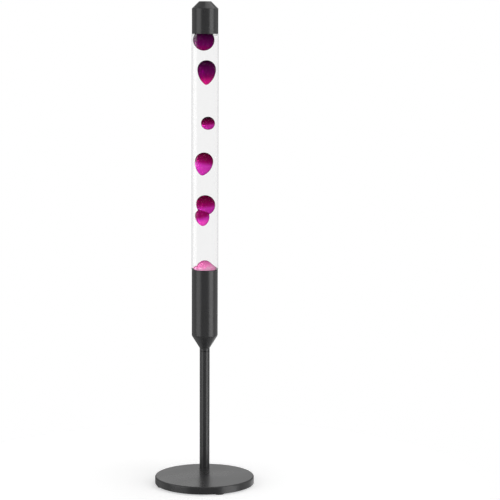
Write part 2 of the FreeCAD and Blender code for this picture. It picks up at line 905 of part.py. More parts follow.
def make_wax_pool(rise=0.0):
    """Wax settled in the foot of the glass, heaped to a round crest where the next drop starts to rise."""
    bore = lower_bore_radius - film_gap
    wall = column_radius - film_gap
    edge = glass_wall / 2
    body = on_pole([
        (0, pool_floor),
        (bore, pool_floor, bore_round),
        (bore, column_low + film_gap, edge / 3),
        (wall, column_low + film_gap, edge / 2),
        (wall, pool_edge + rise),
        (0, pool_edge + rise),
    ])
    flank = math.radians(pool_flank)
    flank_foot = V(wall - pool_ledge, 0, pool_edge + rise)
    flank_top = flank_foot.z + (flank_foot.x - pool_crest * math.sin(flank)) * math.tan(flank)
    crest_centre = flank_top - pool_crest * math.cos(flank)
    crest_top = V(0, 0, crest_centre + pool_crest)
    crest_side = V(math.sin(flank / 2), 0, math.cos(flank / 2)) * pool_crest + V(0, 0, crest_centre)
    crest_edge = V(pool_crest * math.sin(flank), 0, flank_top)
    heap_outline = [
        Part.Arc(crest_top, crest_side, crest_edge).toShape(),
        Part.LineSegment(crest_edge, flank_foot).toShape(),
        Part.LineSegment(flank_foot, V(0, 0, flank_foot.z)).toShape(),
        Part.LineSegment(V(0, 0, flank_foot.z), crest_top).toShape(),
    ]
    heap = Part.Face(Part.Wire(heap_outline)).revolve(V(0, 0, 0), UP, 360)
    heap.translate(V(0, pole_offset, 0))
    channel = tube(
        coil_channel_outer, coil_channel_inner,
        pool_floor - overcut, coil_channel_top,
        0.0, pole_offset,
    )
    return body.fuse(heap).removeSplitter().cut(channel)


def make_wax_coil():
    """Loose steel coil on the glass floor that gathers the wax over the bulb, in tilted half turns."""
    climb = coil_pitch / 2
    half_turns = int(round(2 * coil_turns))
    tilt = math.degrees(math.atan2(climb, 2 * coil_radius))
    slant_radius = math.hypot(coil_radius, climb / 2)
    bottom = pool_floor + coil_wire / 2 - film_gap + fit_gap
    pieces = []
    for i in range(half_turns):
        half_ring = Part.makeTorus(slant_radius, coil_wire / 2, V(0, 0, 0), UP, 0, 360, 180)
        half_ring.rotate(V(0, 0, 0), V(0, 1, 0), tilt)
        half_ring.rotate(V(0, 0, 0), UP, 180 * i)
        pieces.append(half_ring.translated(V(0, pole_offset, bottom + climb * (i + 0.5))))
    return pieces[0].fuse(pieces[1:])


def make_clear_liquid():
    """Clear liquid round the drops, from the wax pool up to its level in the neck."""
    bore = upper_bore_radius - film_gap
    wall = column_radius - film_gap
    edge = glass_wall / 2
    column = on_pole([
        (0, pool_edge + film_gap),
        (wall, pool_edge + film_gap),
        (wall, column_high - film_gap, edge),
        (bore, column_high - film_gap, edge / 3),
        (bore, liquid_level),
        (0, liquid_level),
    ])
    hollows = [drop_solid(growth=drop_film, **shape) for shape in drops.values()]
    hollows += [make_pair_drop(drop_film), make_wax_pool(film_gap)]
    for hollow in hollows:
        column = column.cut(hollow)
    return column


# Cap

def make_cap_shell():
    slope = (cap_radius - cap_flat_diameter / 2) / cap_chamfer_height
    chamfer_low = lamp_top - cap_chamfer_height
    side_shift = cap_wall * (math.hypot(1.0, slope) - 1.0) / slope
    flat_shift = cap_wall * (math.hypot(1.0, slope) - slope)
    return on_pole([
        (0, lamp_top - cap_wall),
        (cap_flat_diameter / 2 - flat_shift, lamp_top - cap_wall),
        (cap_inner_radius, chamfer_low - side_shift),
        (cap_inner_radius, shoulder_high),
        (cap_radius - rim_bevel, shoulder_high),
        (cap_radius, shoulder_high + rim_bevel),
        (cap_radius, chamfer_low, cap_edge_round),
        (cap_flat_diameter / 2, lamp_top, cap_edge_round),
        (0, lamp_top),
    ])


def make_cap_liner():
    inner = upper_spigot_radius + moving_gap
    outer = cap_inner_radius - fit_gap
    bottom = shoulder_high + cap_liner_inset
    return tube(outer, inner, bottom, bottom + cap_liner_length, 0.0, pole_offset)


nodes = {
    "base_cover": make_base_cover(),
    "base_weight": make_base_weight(),
    "base_plate": make_base_plate(),
    "base_plate_screws": make_base_plate_screws(),
    "rubber_feet": make_rubber_feet(),
    "cord_grommet": make_cord_grommet(),
    "terminal_block": make_terminal_block(),
    "terminal_screws": make_terminal_screws(),
    "inner_lead": make_inner_lead(),
    "base_nipple": nipple(base_nut_bottom - fit_gap, base_top + nipple_engagement),
    "base_washer": washer(base_nut_top),
    "base_nut": hex_nut(base_nut_bottom, base_nut_top),
    "pole_tube": make_pole_tube(),
    "pole_lower_plug": make_pole_plug(base_top),
    "pole_upper_plug": make_pole_plug(pole_top - plug_length),
    "neck_nipple": nipple(pole_top - nipple_engagement, neck_nipple_top),
    "neck_washer": washer(housing_floor),
    "neck_nut": hex_nut(neck_nut_bottom, holder_bottom),
    "lamp_housing": make_lamp_housing(),
    "rim_gasket": make_rim_gasket(),
    "holder_body": make_holder_body(),
    "holder_shell": make_holder_shell(),
    "holder_contact": make_holder_contact(),
    "bulb_tip": make_bulb_tip(),
    "bulb_insulator": make_bulb_insulator(),
    "bulb_screw_shell": make_bulb_screw_shell(),
    "bulb_envelope": make_bulb_envelope(),
    "bulb_stem": make_bulb_stem(),
    "bulb_filament": make_bulb_filament(),
    "glass_tube": make_glass_tube(),
    "crown_cap": make_crown_cap(),
    "crown_liner": make_crown_liner(),
    "wax_pool": make_wax_pool(),
    "wax_coil": make_wax_coil(),
    "wax_pair_drop": make_pair_drop(),
    "clear_liquid": make_clear_liquid(),
    "cap_shell": make_cap_shell(),
    "cap_liner": make_cap_liner(),
}
for name, shape in drops.items():
    nodes[name] = drop_solid(**shape)

os.makedirs("parts", exist_ok=True)
for name, shape in nodes.items():
    shape.exportStep("parts/" + name + ".step")
    print(name, "solids", len(shape.Solids), "volume", round(shape.Volume, 1), "valid", shape.isValid())
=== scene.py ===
import json
import math

import bpy
from bpy.props import FloatProperty, FloatVectorProperty, PointerProperty
from mathutils import Matrix, Vector


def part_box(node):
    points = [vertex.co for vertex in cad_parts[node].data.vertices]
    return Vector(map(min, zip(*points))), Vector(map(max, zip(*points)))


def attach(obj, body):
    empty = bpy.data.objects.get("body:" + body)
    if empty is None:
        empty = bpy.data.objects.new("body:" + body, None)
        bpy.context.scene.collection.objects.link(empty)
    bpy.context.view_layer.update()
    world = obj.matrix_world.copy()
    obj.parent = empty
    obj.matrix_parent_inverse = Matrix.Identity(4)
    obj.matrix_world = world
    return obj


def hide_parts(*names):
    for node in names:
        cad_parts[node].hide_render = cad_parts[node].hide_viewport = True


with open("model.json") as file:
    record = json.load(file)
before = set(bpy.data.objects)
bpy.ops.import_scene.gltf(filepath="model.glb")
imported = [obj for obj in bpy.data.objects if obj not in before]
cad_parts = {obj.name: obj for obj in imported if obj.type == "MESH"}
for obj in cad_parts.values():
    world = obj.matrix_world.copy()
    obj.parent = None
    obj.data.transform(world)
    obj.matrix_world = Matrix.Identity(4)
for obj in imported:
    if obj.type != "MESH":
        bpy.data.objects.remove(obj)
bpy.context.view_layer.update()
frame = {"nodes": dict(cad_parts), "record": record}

bl_info = {
    "name": "Floor lava lamp",
    "version": (1, 0, 0),
    "blender": (4, 5, 0),
    "location": "3D View > Sidebar > Lava lamp",
    "description": "Finishes, wax and studio stage of a slim floor lava lamp",
    "category": "Object",
}

NODES = frame["nodes"]
BODY_OF = {node: body for body, nodes in frame["record"]["behaviour"]["bodies"].items() for node in nodes}
WHITE = (1.0, 1.0, 1.0, 1.0)
BLACK = (0.0, 0.0, 0.0, 1.0)
# Noise levels at which a grain is wholly dark or light, and the width of the clouds in a finish's
# roughness, in grains of its colour
GRAIN_DARK = 0.35
GRAIN_LIGHT = 0.65
CLOUD_GRAINS = 9
# Sockets of a Mix node that blends two numbers
MIX_SHARE = 0
MIX_FIRST = 2
MIX_SECOND = 3


def from_screen(red, green, blue):
    """Scene-linear colour of a screen colour given in steps of 255."""
    shares = [step / 255 for step in (red, green, blue)]
    return tuple(s / 12.92 if s <= 0.04045 else ((s + 0.055) / 1.055) ** 2.4 for s in shares)


def colour_setting(title, hint, default):
    """Colour that the sidebar offers."""
    return FloatVectorProperty(
        name=title, description=hint, subtype="COLOR", size=3, min=0.0, max=1.0, default=default
    )


def length_setting(title, hint, default):
    """Length in metres that the sidebar offers."""
    return FloatProperty(name=title, description=hint, unit="LENGTH", min=0.0, default=default, precision=5)


def share_setting(title, hint, default):
    """Share from 0 to 1 that the sidebar offers."""
    return FloatProperty(name=title, description=hint, subtype="FACTOR", min=0.0, max=1.0, default=default)


def level_setting(title, hint, default):
    """Brightness or density without an upper limit that the sidebar offers."""
    return FloatProperty(name=title, description=hint, min=0.0, default=default)


class LampCoatSettings(bpy.types.PropertyGroup):
    """Satin coat on the base, pole, housing and cap."""

    dark: colour_setting("Dark fleck", "Darker grains of the coat", from_screen(42, 42, 43))
    light: colour_setting("Light fleck", "Lighter grains of the coat", from_screen(52, 52, 53))
    sheen_low: share_setting("Smooth roughness", "Roughness where the coat is smoothest", 0.25)
    sheen_high: share_setting("Dull roughness", "Roughness where the coat is dullest", 0.31)
    gloss: share_setting("Gloss", "Strength of the coat's mirror reflection", 0.46)
    grain: length_setting("Grain", "Size of the coat's flecks", 0.0006)
    peel: length_setting("Peel size", "Width of the coat's fine waves", 0.0022)
    peel_depth: length_setting("Peel depth", "Height of the coat's fine waves", 0.000012)
    # Width of the painted shade line in the groove of the pole's joint
    joint_shade: length_setting("Joint shade", "Half width of the dark line in the pole's joint", 0.0008)


class LampGlassSettings(bpy.types.PropertyGroup):
    """Glass column and the liquid in it."""

    bend: FloatProperty(name="Bend of light", description="Index of refraction", min=1.0, default=1.07)
    tint: colour_setting("Tint", "Colour that thick glass lets through", (0.9, 0.9, 0.9))
    density: level_setting("Density", "Absorption in each metre of glass", 170.0)
    shine: share_setting("Shine", "Weight of the glass's outer gloss", 0.05)
    shine_blur: share_setting("Shine blur", "Roughness of the glass's outer gloss", 0.22)
    smear: share_setting("Smear", "Highest roughness of the drawn glass", 0.003)
    liquid: colour_setting("Liquid", "Faint colour of the liquid", (0.9, 0.9, 0.9))
    liquid_density: level_setting("Liquid density", "Absorption in each metre of liquid", 15.0)
    liquid_veil: share_setting("Liquid veil", "How much the liquid shows", 0.001)


class LampWaxSettings(bpy.types.PropertyGroup):
    """Wax, with painted bulb light that runs from the dark tops of the drops to the lit pool over the bulb.
    """

    night: colour_setting("Night", "Crowns of the drops, in the least light", from_screen(34, 0, 18))
    maroon: colour_setting("Maroon", "Shaded wax", from_screen(92, 0, 44))
    crimson: colour_setting("Crimson", "Shoulders of the lower drops", from_screen(120, 1, 66))
    magenta: colour_setting("Magenta", "Middle of the lower drops", from_screen(150, 8, 98))
    orchid: colour_setting("Orchid", "Lit feet of the drops", from_screen(200, 48, 172))
    rose: colour_setting("Rose", "Brightest foot of a drop", from_screen(238, 70, 190))
    dusk: colour_setting("Dusk", "Crest of the pool over the bulb", from_screen(208, 100, 158))
    blush: colour_setting("Blush", "Lit flank of the pool over the bulb", from_screen(250, 138, 198))
    petal: colour_setting("Petal", "Thin ring of wax at the pool's edge", from_screen(240, 172, 208))
    ink: colour_setting("Ink", "Crowns of the highest drops", from_screen(24, 0, 22))
    violet: colour_setting("Violet", "Shaded wax of the highest drops", from_screen(64, 0, 53))
    plum: colour_setting("Plum", "Middle of the highest drops", from_screen(100, 2, 80))
    berry: colour_setting("Berry", "Lower flanks of the highest drops", from_screen(128, 3, 84))
    cerise: colour_setting("Cerise", "Lit feet of the highest drops", from_screen(206, 26, 124))
    skin: length_setting("Skin", "Width of the faces that the wax is skinned with", 0.0008)
    # Painted light: the wax glows by emission in place of the bulb's light passing through it
    glow: share_setting("Glow", "Share of the colour that the wax gives off", 0.82)
    body: share_setting("Body", "Share of the colour that the wax shows by the light on it", 0.36)
    film: colour_setting("Film", "Colour that the film on the wax lets through", (0.85, 0.85, 0.85))


class LampStageSettings(bpy.types.PropertyGroup):
    """Camera, floor and studio lamps."""

    camera_place: FloatVectorProperty(
        name="Camera", description="Place of the camera", subtype="TRANSLATION", unit="LENGTH",
        default=(0.0, -2.8333, 0.7163),
    )
    camera_pitch: FloatProperty(
        name="Pitch", description="How far the camera looks down", subtype="ANGLE",
        default=math.radians(6.8952),
    )
    camera_yaw: FloatProperty(
        name="Yaw", description="How far the camera looks to the right", subtype="ANGLE",
        default=math.radians(1.4306),
    )
    camera_roll: FloatProperty(
        name="Roll", description="How far the camera leans", subtype="ANGLE", default=math.radians(0.2442)
    )
    focal_length: FloatProperty(
        name="Focal length", description="Lens on a 36 mm sensor", subtype="DISTANCE_CAMERA",
        default=131.235,
    )
    floor_radius: length_setting("Floor radius", "Radius of the pale floor", 0.45)
    floor_colour: colour_setting("Floor", "Colour of the floor", (0.82, 0.82, 0.82))
    floor_lift: share_setting("Floor lift", "White added to the floor as it is seen", 0.4)
    floor_fade: share_setting("Floor fade", "White added towards the floor's rim", 0.5)
    room_light: share_setting("Room light", "Strength of the room's own light", 0.42)
    room_front: share_setting("Room front", "Strength of the room behind the camera in a reflection", 0.24)
    room_flank: share_setting("Room flank", "Strength of the room beside the lamp in a reflection", 0.57)
    room_rear: share_setting("Room rear", "Strength of the room beside the backdrop in a reflection", 0.24)
    backdrop_side: FloatVectorProperty(
        name="Backdrop", description="Direction of the backdrop's white middle", subtype="DIRECTION",
        default=(0.0, 0.93, 0.37),
    )
    backdrop_light: share_setting("Backdrop light", "Strength of its middle in a reflection", 0.78)
    sweep_side: FloatVectorProperty(
        name="Sweep", description="Direction of the white paper sweep behind the lamp", subtype="DIRECTION",
        default=(0.45, 0.77, -0.45),
    )
    sweep_light: share_setting("Sweep light", "Strength of the paper sweep in a reflection", 1.0)
    key_radiance: level_setting("Key", "Brightness of the right softbox", 2.5)
    fill_radiance: level_setting("Fill", "Brightness of the left softbox", 1.65)
    top_radiance: level_setting("Top", "Brightness of the overhead softbox", 1.1)
    strip_radiance: level_setting("Strip", "Brightness of the strip light that the glass alone shows", 44.0)


def new_finish(name):
    """New node material, its tree and its shader."""
    material = bpy.data.materials.new(name)
    material.use_nodes = True
    tree = material.node_tree
    return material, tree, tree.nodes["Principled BSDF"]


def add_node(tree, kind, **values):
    """New node with the given inputs set; a socket name has underscores for spaces."""
    node = tree.nodes.new(kind)
    for name, value in values.items():
        node.inputs[name.replace("_", " ")].default_value = value
    return node


def set_sockets(shader, **values):
    """Sets constant values on a shader's own sockets."""
    for name, value in values.items():
        shader.inputs[name.replace("_", " ")].default_value = value


def cloud(tree, cell, detail=2.0, stretch=(1.0, 1.0, 1.0)):
    """Noise in the piece's own coordinates, with cells of a width in metres."""
    place = add_node(tree, "ShaderNodeTexCoord")
    scale = add_node(tree, "ShaderNodeMapping", Scale=stretch)
    texture = add_node(tree, "ShaderNodeTexNoise", Scale=1.0 / cell, Detail=detail)
    tree.links.new(place.outputs["Object"], scale.inputs["Vector"])
    tree.links.new(scale.outputs["Vector"], texture.inputs["Vector"])
    return texture.outputs["Fac"]


def spread(tree, source, low, high, source_low=0.3, source_high=0.7):
    """Value carried from one range to another."""
    node = add_node(
        tree, "ShaderNodeMapRange", From_Min=source_low, From_Max=source_high, To_Min=low, To_Max=high
    )
    tree.links.new(source, node.inputs["Value"])
    return node.outputs["Result"]


def ramp(tree, source, stops):
    """Colour by a value, from stops of (place, colour)."""
    node = add_node(tree, "ShaderNodeValToRGB")
    elements = node.color_ramp.elements
    while len(elements) < len(stops):
        elements.new(1.0)
    for element, (place, colour) in zip(elements, stops):
        element.position = place
        element.color = (*colour, 1.0)
    tree.links.new(source, node.inputs["Fac"])
    return node.outputs["Color"]


def relief(tree, source, depth):
    """Bump of a height in metres."""
    node = add_node(tree, "ShaderNodeBump", Strength=1.0, Distance=depth)
    tree.links.new(source, node.inputs["Height"])
    return node.outputs["Normal"]


def grained_finish(
    name, dark, light, dull=(0.4, 0.5), cell=0.002, depth=0.00002, stretch=(1, 1, 1), **sockets
):
    """Finish with clouded colour, clouded roughness and a fine relief."""
    material, tree, shader = new_finish(name)
    grain = cloud(tree, cell, stretch=stretch)
    broad = cloud(tree, cell * CLOUD_GRAINS)
    low, high = dull
    colour = ramp(tree, grain, [(GRAIN_DARK, dark), (GRAIN_LIGHT, light)])
    tree.links.new(colour, shader.inputs["Base Color"])
    tree.links.new(spread(tree, broad, low, high), shader.inputs["Roughness"])
    tree.links.new(relief(tree, grain, depth), shader.inputs["Normal"])
    set_sockets(shader, **sockets)
    return material


def dress(material, *names):
    """Gives CAD nodes a finish through their material slots."""
    for name in names:
        for slot in NODES[name].material_slots:
            slot.material = material


class LampCoatOperator(bpy.types.Operator):
    """Coats the base cover, pole, housing and cap in satin anthracite"""

    bl_idname = "lava_lamp.coat_metalwork"
    bl_label = "Coat the metalwork"

    # Width of the patches that handling has dulled
    handled_patch = 0.05

    def execute(self, context):
        coat = context.scene.lava_lamp_coat
        material, tree, shader = new_finish("anthracite_coat")
        fleck = ramp(tree, cloud(tree, coat.grain), [(GRAIN_DARK, coat.dark), (GRAIN_LIGHT, coat.light)])
        peel = cloud(tree, coat.peel, detail=1.0)
        handling = cloud(tree, self.handled_patch, detail=3.0)
        tree.links.new(self.shade_joint(tree, fleck, coat), shader.inputs["Base Color"])
        tree.links.new(spread(tree, handling, coat.sheen_low, coat.sheen_high), shader.inputs["Roughness"])
        tree.links.new(relief(tree, peel, coat.peel_depth), shader.inputs["Normal"])
        set_sockets(shader, Specular_IOR_Level=coat.gloss)
        dress(material, "base_cover", "pole_tube", "lamp_housing", "cap_shell")
        return {"FINISHED"}

    def shade_joint(self, tree, fleck, coat):
        """Colour of the coat, with painted shade in the groove where the housing's neck meets the pole."""
        housing_foot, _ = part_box("lamp_housing")
        place = add_node(tree, "ShaderNodeTexCoord")
        split = add_node(tree, "ShaderNodeSeparateXYZ")
        away = add_node(tree, "ShaderNodeMath")
        away.operation = "SUBTRACT"
        away.inputs[1].default_value = housing_foot.z
        gap = add_node(tree, "ShaderNodeMath")
        gap.operation = "ABSOLUTE"
        shade = add_node(tree, "ShaderNodeMixRGB", Color1=BLACK)
        tree.links.new(place.outputs["Object"], split.inputs["Vector"])
        tree.links.new(split.outputs["Z"], away.inputs[0])
        tree.links.new(away.outputs["Value"], gap.inputs[0])
        # Painted shade: the coat turns black near the housing's foot, where the groove's shadow falls
        clear = spread(tree, gap.outputs["Value"], 0.0, 1.0, coat.joint_shade / 2, coat.joint_shade)
        tree.links.new(clear, shade.inputs["Fac"])
        tree.links.new(fleck, shade.inputs["Color2"])
        return shade.outputs["Color"]


class LampBaseOperator(bpy.types.Operator):
    """Finishes the base's weight, feet, inlet, terminals and lead, and the housing's rim gasket"""

    bl_idname = "lava_lamp.dress_base"
    bl_label = "Finish the base's insides"

    def execute(self, context):
        cast = grained_finish(
            "cast_weight", from_screen(58, 58, 60), from_screen(86, 86, 88), dull=(0.7, 0.9),
            cell=0.0016, depth=0.00022, Metallic=0.6,
        )
        rubber = grained_finish(
            "black_rubber", from_screen(24, 24, 25), from_screen(36, 36, 37), dull=(0.6, 0.8),
            cell=0.0007, depth=0.00003, Specular_IOR_Level=0.3,
        )
        plastic = grained_finish(
            "terminal_plastic", from_screen(214, 211, 200), from_screen(228, 226, 217), dull=(0.4, 0.55),
            cell=0.001, depth=0.00001,
        )
        sheath = grained_finish(
            "lead_sheath", from_screen(206, 206, 204), from_screen(222, 222, 220), dull=(0.35, 0.5),
            cell=0.001, depth=0.00001, stretch=(1.0, 1.0, 0.05),
        )
        dress(cast, "base_weight")
        dress(rubber, "rubber_feet", "cord_grommet", "rim_gasket")
        dress(plastic, "terminal_block")
        dress(sheath, "inner_lead")
        return {"FINISHED"}


class LampFixingsOperator(bpy.types.Operator):
    """Finishes the bottom plate, the plated fixings, the turned plugs and the wax coil"""

    bl_idname = "lava_lamp.dress_fixings"
    bl_label = "Finish the fixings"

    def execute(self, context):
        zinc = grained_finish(
            "zinc_steel", from_screen(176, 180, 186), from_screen(208, 211, 214), dull=(0.28, 0.42),
            cell=0.0012, depth=0.000008, Metallic=1.0,
        )
        turned = grained_finish(
            "turned_aluminium", from_screen(204, 206, 208), from_screen(226, 227, 228), dull=(0.25, 0.35),
            cell=0.0004, depth=0.00001, stretch=(0.04, 0.04, 1.0), Metallic=1.0,
        )
        dress(
            zinc, "base_plate", "base_plate_screws", "base_washer", "base_nut", "neck_washer", "neck_nut",
            "base_nipple", "neck_nipple", "wax_coil",
        )
        dress(turned, "pole_lower_plug", "pole_upper_plug")
        return {"FINISHED"}


class LampBulbOperator(bpy.types.Operator):
    """Finishes the lamp holder, the reflector bulb and the brass terminal screws"""

    bl_idname = "lava_lamp.dress_bulb"
    bl_label = "Finish the holder and bulb"

    # Share of the envelope's height where its frosted face begins, half the width of that edge, and the
    # width and depth of the frost's grains
    frosted_from = 0.77
    frost_edge = 0.0005
    frost_grain = 0.0006
    frost_depth = 0.00001

    def execute(self, context):
        brass = grained_finish(
            "brass", from_screen(190, 152, 82), from_screen(224, 190, 116), dull=(0.25, 0.4),
            cell=0.0015, depth=0.000008, Metallic=1.0,
        )
        moulding = grained_finish(
            "holder_moulding", from_screen(26, 26, 27), from_screen(40, 39, 38), dull=(0.35, 0.5),
            cell=0.001, depth=0.00002,
        )
        nickel = grained_finish(
            "bulb_cap_metal", from_screen(196, 194, 188), from_screen(218, 216, 210), dull=(0.2, 0.32),
            cell=0.0012, depth=0.000006, Metallic=1.0,
        )
        bead = grained_finish(
            "bulb_cap_glass", from_screen(14, 14, 18), from_screen(26, 26, 32), dull=(0.08, 0.16),
            cell=0.001, depth=0.00001,
        )
        stem = grained_finish(
            "stem_glass", from_screen(240, 244, 244), from_screen(248, 250, 250), dull=(0.02, 0.06),
            cell=0.002, depth=0.000004, Transmission_Weight=1.0, IOR=1.46,
        )
        filament = grained_finish(
            "filament", from_screen(120, 112, 104), from_screen(150, 140, 128), dull=(0.3, 0.45),
            cell=0.0004, depth=0.000004, Metallic=1.0, Emission_Color=(1.0, 0.72, 0.4, 1.0),
            Emission_Strength=6.0,
        )
        dress(brass, "terminal_screws", "holder_shell", "holder_contact", "bulb_tip")
        dress(moulding, "holder_body")
        dress(nickel, "bulb_screw_shell")
        dress(bead, "bulb_insulator")
        dress(stem, "bulb_stem")
        dress(filament, "bulb_filament")
        dress(self.reflector(), "bulb_envelope")
        return {"FINISHED"}

    def reflector(self):
        """Silvered cone with a frosted face."""
        low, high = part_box("bulb_envelope")
        face = low.z + self.frosted_from * (high.z - low.z)
        material, tree, shader = new_finish("bulb_glass")
        place = add_node(tree, "ShaderNodeTexCoord")
        split = add_node(tree, "ShaderNodeSeparateXYZ")
        tree.links.new(place.outputs["Object"], split.inputs["Vector"])
        height = split.outputs["Z"]
        frost = spread(tree, height, 0.0, 1.0, face - self.frost_edge, face + self.frost_edge)
        tint = ramp(tree, frost, [(0.0, from_screen(205, 205, 203)), (1.0, from_screen(240, 236, 226))])
        tree.links.new(tint, shader.inputs["Base Color"])
        tree.links.new(spread(tree, frost, 0.9, 0.0, 0.0, 1.0), shader.inputs["Metallic"])
        tree.links.new(spread(tree, frost, 0.12, 0.6, 0.0, 1.0), shader.inputs["Roughness"])
        grains = relief(tree, cloud(tree, self.frost_grain), self.frost_depth)
        tree.links.new(grains, shader.inputs["Normal"])
        return material


class LampBottleOperator(bpy.types.Operator):
    """Finishes the glass column, its closure, its liquid and the sleeve in the cap"""

    bl_idname = "lava_lamp.dress_bottle"
    bl_label = "Finish the glass column"

    # Width of the lines that drawing leaves in the tube, and how they are stretched along it
    drawn_line = 0.004
    drawn_stretch = (1.0, 1.0, 0.04)
    # Share of the tube's radius beyond which its wall is glossy, and half the width of that edge
    gloss_from = 0.96
    gloss_edge = 0.0001
    # Share of the liquid's colour that its darker streaks keep
    streak = 0.96

    def execute(self, context):
        glass = context.scene.lava_lamp_glass
        tin = grained_finish(
            "crown_tin", from_screen(186, 186, 184), from_screen(208, 208, 206), dull=(0.22, 0.34),
            cell=0.0012, depth=0.000008, Metallic=1.0,
        )
        seal = grained_finish(
            "crown_seal", from_screen(196, 196, 190), from_screen(214, 214, 208), dull=(0.5, 0.7),
            cell=0.001,
        )
        sleeve = grained_finish(
            "cap_sleeve", from_screen(30, 30, 31), from_screen(44, 44, 45), dull=(0.6, 0.8), cell=0.001
        )
        liquid = grained_finish(
            "clear_liquid", tuple(self.streak * c for c in glass.liquid), tuple(glass.liquid),
            dull=(0.02, 0.05), cell=0.02, depth=0.000002, Alpha=glass.liquid_veil,
        )
        tree = liquid.node_tree
        depth = add_node(
            tree, "ShaderNodeVolumeAbsorption", Color=(*glass.liquid, 1.0), Density=glass.liquid_density
        )
        tree.links.new(depth.outputs["Volume"], tree.nodes["Material Output"].inputs["Volume"])
        dress(tin, "crown_cap")
        dress(seal, "crown_liner")
        dress(sleeve, "cap_liner")
        dress(liquid, "clear_liquid")
        dress(self.drawn_glass(glass), "glass_tube")
        return {"FINISHED"}

    def drawn_glass(self, glass):
        """Drawn tube that bends light a little, is darker where thick and lets light reach the wax."""
        material, tree, shader = new_finish("clear_glass")
        drawn = cloud(tree, self.drawn_line, stretch=self.drawn_stretch)
        tree.links.new(spread(tree, drawn, 0.0, glass.smear), shader.inputs["Roughness"])
        tree.links.new(self.outer_gloss(tree, glass), shader.inputs["Coat Weight"])
        set_sockets(
            shader, Base_Color=WHITE, Transmission_Weight=1.0, IOR=glass.bend,
            Coat_Roughness=glass.shine_blur,
        )
        path = add_node(tree, "ShaderNodeLightPath")
        clear = add_node(tree, "ShaderNodeBsdfTransparent", Color=WHITE)
        pick = add_node(tree, "ShaderNodeMixShader")
        depth = add_node(
            tree, "ShaderNodeVolumeAbsorption", Color=(*glass.tint, 1.0), Density=glass.density
        )
        output = tree.nodes["Material Output"]
        tree.links.new(path.outputs["Is Shadow Ray"], pick.inputs["Fac"])
        tree.links.new(shader.outputs["BSDF"], pick.inputs[1])
        tree.links.new(clear.outputs["BSDF"], pick.inputs[2])
        tree.links.new(pick.outputs["Shader"], output.inputs["Surface"])
        tree.links.new(depth.outputs["Volume"], output.inputs["Volume"])
        return material

    def outer_gloss(self, tree, glass):
        """Weight of the gloss, which the tube has outside and the wet bore lacks."""
        low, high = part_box("glass_tube")
        axis = (low + high) / 2
        skin = self.gloss_from * (high.x - low.x) / 2
        inner, outer = skin - self.gloss_edge, skin + self.gloss_edge
        place = add_node(tree, "ShaderNodeTexCoord")
        across = add_node(
            tree, "ShaderNodeMapping", Location=(-axis.x, -axis.y, 0.0), Scale=(1.0, 1.0, 0.0)
        )
        radius = add_node(tree, "ShaderNodeVectorMath")
        radius.operation = "LENGTH"
        side = add_node(tree, "ShaderNodeNewGeometry")
        weight = add_node(tree, "ShaderNodeMath")
        weight.operation = "MULTIPLY"
        tree.links.new(place.outputs["Object"], across.inputs["Vector"])
        tree.links.new(across.outputs["Vector"], radius.inputs[0])
        outside = spread(tree, radius.outputs["Value"], 0.0, glass.shine, inner, outer)
        tree.links.new(outside, weight.inputs[0])
        tree.links.new(spread(tree, side.outputs["Backfacing"], 1.0, 0.0, 0.0, 1.0), weight.inputs[1])
        return weight.outputs["Value"]


